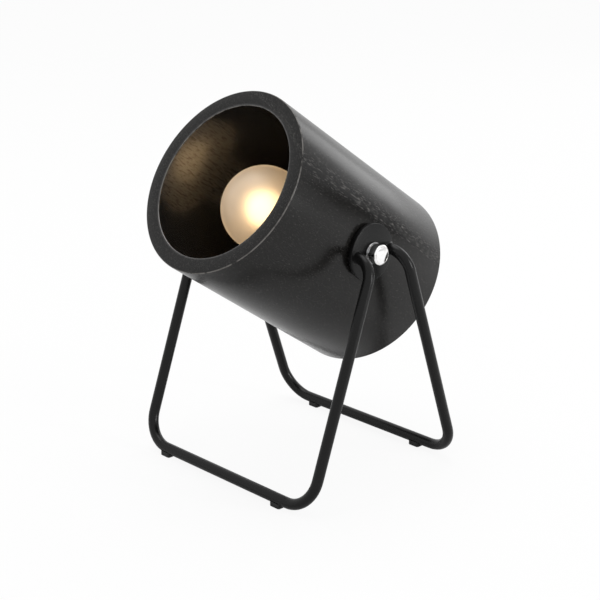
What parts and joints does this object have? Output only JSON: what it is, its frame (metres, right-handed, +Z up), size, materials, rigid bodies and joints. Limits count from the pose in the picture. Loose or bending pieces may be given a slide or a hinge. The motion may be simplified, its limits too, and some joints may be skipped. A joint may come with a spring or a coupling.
{
  "type": "tabletop searchlight lamp",
  "caption": "Small table lamp: a round wooden shade with a screw-in bulb, tilting between two bent wire frames and clamped by a knob at each side.",
  "frame": {"origin": "on the table, under the middle of the lamp's box with the shade at its rest tilt", "axes": "+Z up; the mouth of the shade faces -Y and up; the tilt axis lies along X"},
  "size_m": [0.1626, 0.1922, 0.2456],
  "materials": {
    "black_stained_wood": "open-pored, stained black, satin",
    "black_powder_coat": "satin powder coat",
    "polished_chrome": "polished",
    "zinc_steel": "bright zinc plating",
    "brass": "bare, lightly dulled",
    "black_rubber": "matt moulded rubber",
    "black_nylon": "matt moulded nylon",
    "black_phenolic": "glossy moulded phenolic",
    "white_ceramic": "glazed ceramic",
    "fibre_washer": "pressed dark fibre",
    "frosted_glass": "inside frosted, warm lit",
    "clear_glass": "clear",
    "bulb_aluminium": "rolled, dull",
    "black_glass_insulator": "black vitreous glass",
    "filament_wire": "drawn wire"
  },
  "bodies": {
    "stand": {"front_left_foot": "black_rubber", "front_right_foot": "black_rubber", "front_wire_frame": "black_powder_coat", "left_pivot_plate": "black_powder_coat", "rear_left_foot": "black_rubber", "rear_right_foot": "black_rubber", "rear_wire_frame": "black_powder_coat", "right_pivot_plate": "black_powder_coat"},
    "shade": {"back_panel": "black_stained_wood", "centre_contact": "brass", "contact_carrier": "white_ceramic", "contact_sleeve": "brass", "cord_grip": "black_nylon", "cord_grip_screw": "black_nylon", "grip_washer": "zinc_steel", "lampholder_cap": "black_phenolic", "lampholder_shell": "black_phenolic", "left_friction_washer": "fibre_washer", "left_threaded_insert": "brass", "nipple_locknut": "zinc_steel", "nipple_star_washer": "zinc_steel", "right_friction_washer": "fibre_washer", "right_threaded_insert": "brass", "shade_tube": "black_stained_wood", "side_contact": "brass", "terminal_screws": "zinc_steel", "threaded_nipple": "zinc_steel"},
    "bulb": {"bulb_cap": "bulb_aluminium", "bulb_contact": "brass", "bulb_filament": "filament_wire", "bulb_glass": "frosted_glass", "bulb_insulator": "black_glass_insulator", "bulb_lead_wires": "filament_wire", "bulb_stem": "clear_glass"},
    "left_knob": {"left_pivot_knob": "polished_chrome", "left_pivot_stud": "zinc_steel", "left_knob_washer": "polished_chrome"},
    "right_knob": {"right_pivot_knob": "polished_chrome", "right_pivot_stud": "zinc_steel", "right_knob_washer": "polished_chrome"}
  },
  "joints": [
    {"name": "shade_tilt", "type": "hinge", "parent": "stand", "child": "shade", "pos_m": [0, 0.00244, 0.152], "axis": [1, 0, 0], "range_deg": [-55.7, 124.3]},
    {"name": "left_knob_turn", "type": "hinge", "parent": "shade", "child": "left_knob", "pos_m": [0, 0.00244, 0.152], "axis": [-1, 0, 0], "range_deg": [0, 360]},
    {"name": "right_knob_turn", "type": "hinge", "parent": "shade", "child": "right_knob", "pos_m": [0, 0.00244, 0.152], "axis": [1, 0, 0], "range_deg": [0, 360]},
    {"name": "bulb_turn", "type": "hinge", "parent": "shade", "child": "bulb", "pos_m": [0, -0.02829, 0.17296], "axis": [0, -0.8261, 0.5635], "range_deg": [0, 1080]}
  ]
}
